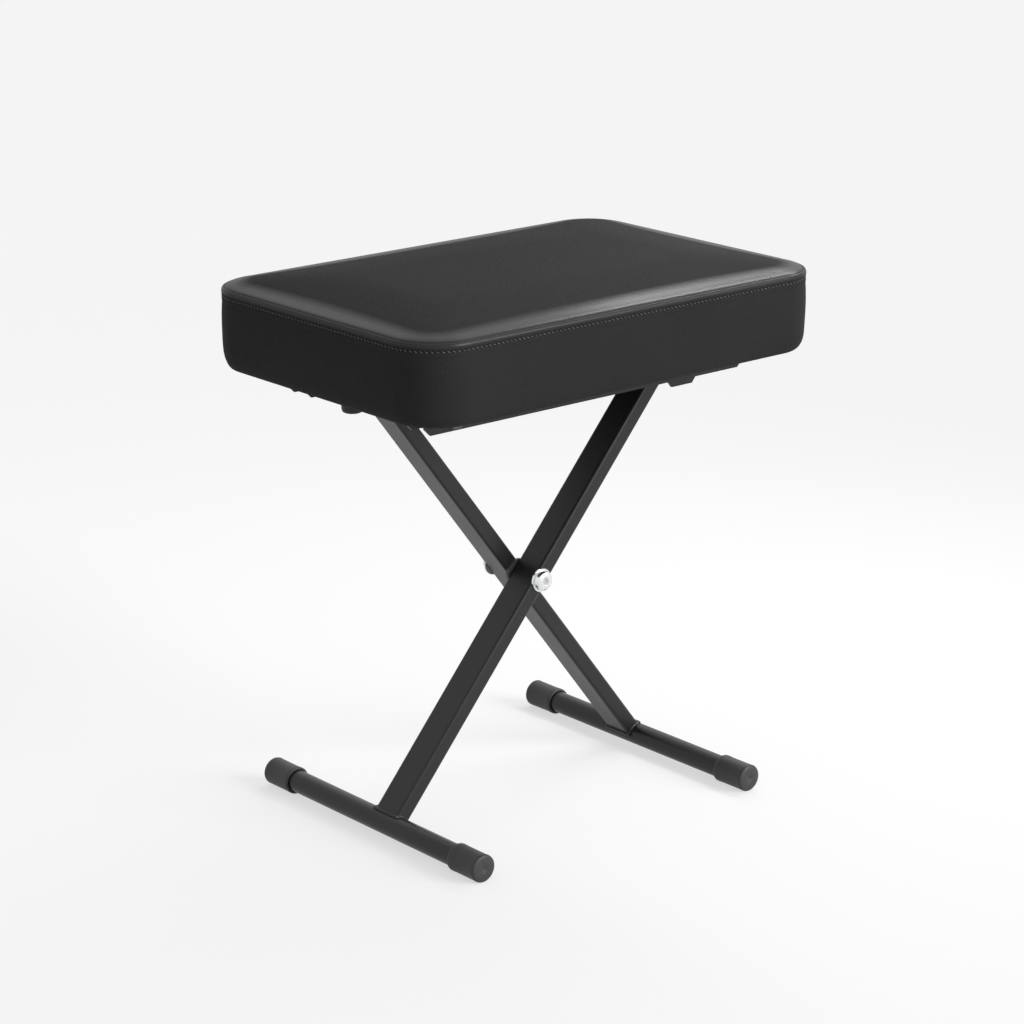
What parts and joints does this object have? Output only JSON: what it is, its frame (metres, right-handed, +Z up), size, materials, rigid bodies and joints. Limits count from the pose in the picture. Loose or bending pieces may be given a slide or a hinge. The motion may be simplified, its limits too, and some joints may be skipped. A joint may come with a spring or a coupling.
{
  "type": "folding keyboard bench",
  "caption": "Padded rectangular seat on crossed steel legs that scissor about a bolt, hinged to the seat at one end and held in notched rails at the other.",
  "frame": {"origin": "on the floor under the centre of the seat", "axes": "+X along the seat towards its notched end, +Y across the seat to the rear, +Z up"},
  "size_m": [0.45, 0.306, 0.48],
  "materials": {
    "vinyl": "soft black upholstery vinyl with a fine pebble grain, low sheen",
    "foam": "open-cell seat foam, hidden inside the cover",
    "plywood": "bare plywood, hidden between the foam and the dust cover",
    "dust_cloth": "thin matt black non-woven cloth",
    "black_steel": "satin black powder coat with a faint orange-peel",
    "black_screws": "black oxide",
    "zinc": "zinc plated, slightly dull",
    "bright_zinc": "bright zinc plate",
    "nylon": "black nylon, matt",
    "rubber": "matt black moulded rubber"
  },
  "bodies": {
    "seat": {"seat_cover": "vinyl", "foam_pad": "foam", "base_board": "plywood", "dust_cover": "dust_cloth", "cover_staples": "zinc", "tee_nuts": "zinc", "rail_screws": "black_screws", "seat_rail_front": "black_steel", "seat_rail_rear": "black_steel", "hinge_bushes": "nylon", "fold_bumper": "rubber", "bumper_screw": "zinc"},
    "leg_b": {"leg_b_tube": "black_steel", "leg_b_welds": "black_steel", "leg_b_sleeve": "zinc", "foot_tube_right": "black_steel", "foot_cap_right_front": "rubber", "foot_cap_right_rear": "rubber", "hinge_bar": "black_steel", "hinge_end_washers": "zinc", "hinge_end_screws": "zinc"},
    "leg_a": {"leg_a_tube": "black_steel", "leg_a_welds": "black_steel", "leg_a_sleeve": "zinc", "foot_tube_left": "black_steel", "foot_cap_left_front": "rubber", "foot_cap_left_rear": "rubber", "rest_bar": "black_steel", "rest_bar_plugs": "nylon", "pivot_bolt": "bright_zinc", "bolt_head_washer": "bright_zinc", "leg_spacer": "nylon", "nut_washer": "bright_zinc", "lock_nut": "bright_zinc"}
  },
  "joints": [
    {"name": "seat_hinge", "type": "hinge", "parent": "seat", "child": "leg_b", "pos_m": [-0.146, 0, 0.391], "axis": [0, -1, 0], "range_deg": [-7.6, 49]},
    {"name": "leg_pivot", "type": "hinge", "parent": "leg_b", "child": "leg_a", "pos_m": [0.0002, 0, 0.20337], "axis": [0, 1, 0], "range_deg": [-14.9, 95.7]}
  ],
  "couplings": [
    {"joint": "leg_pivot", "follows": "seat_hinge", "ratio": 1.95}
  ]
}
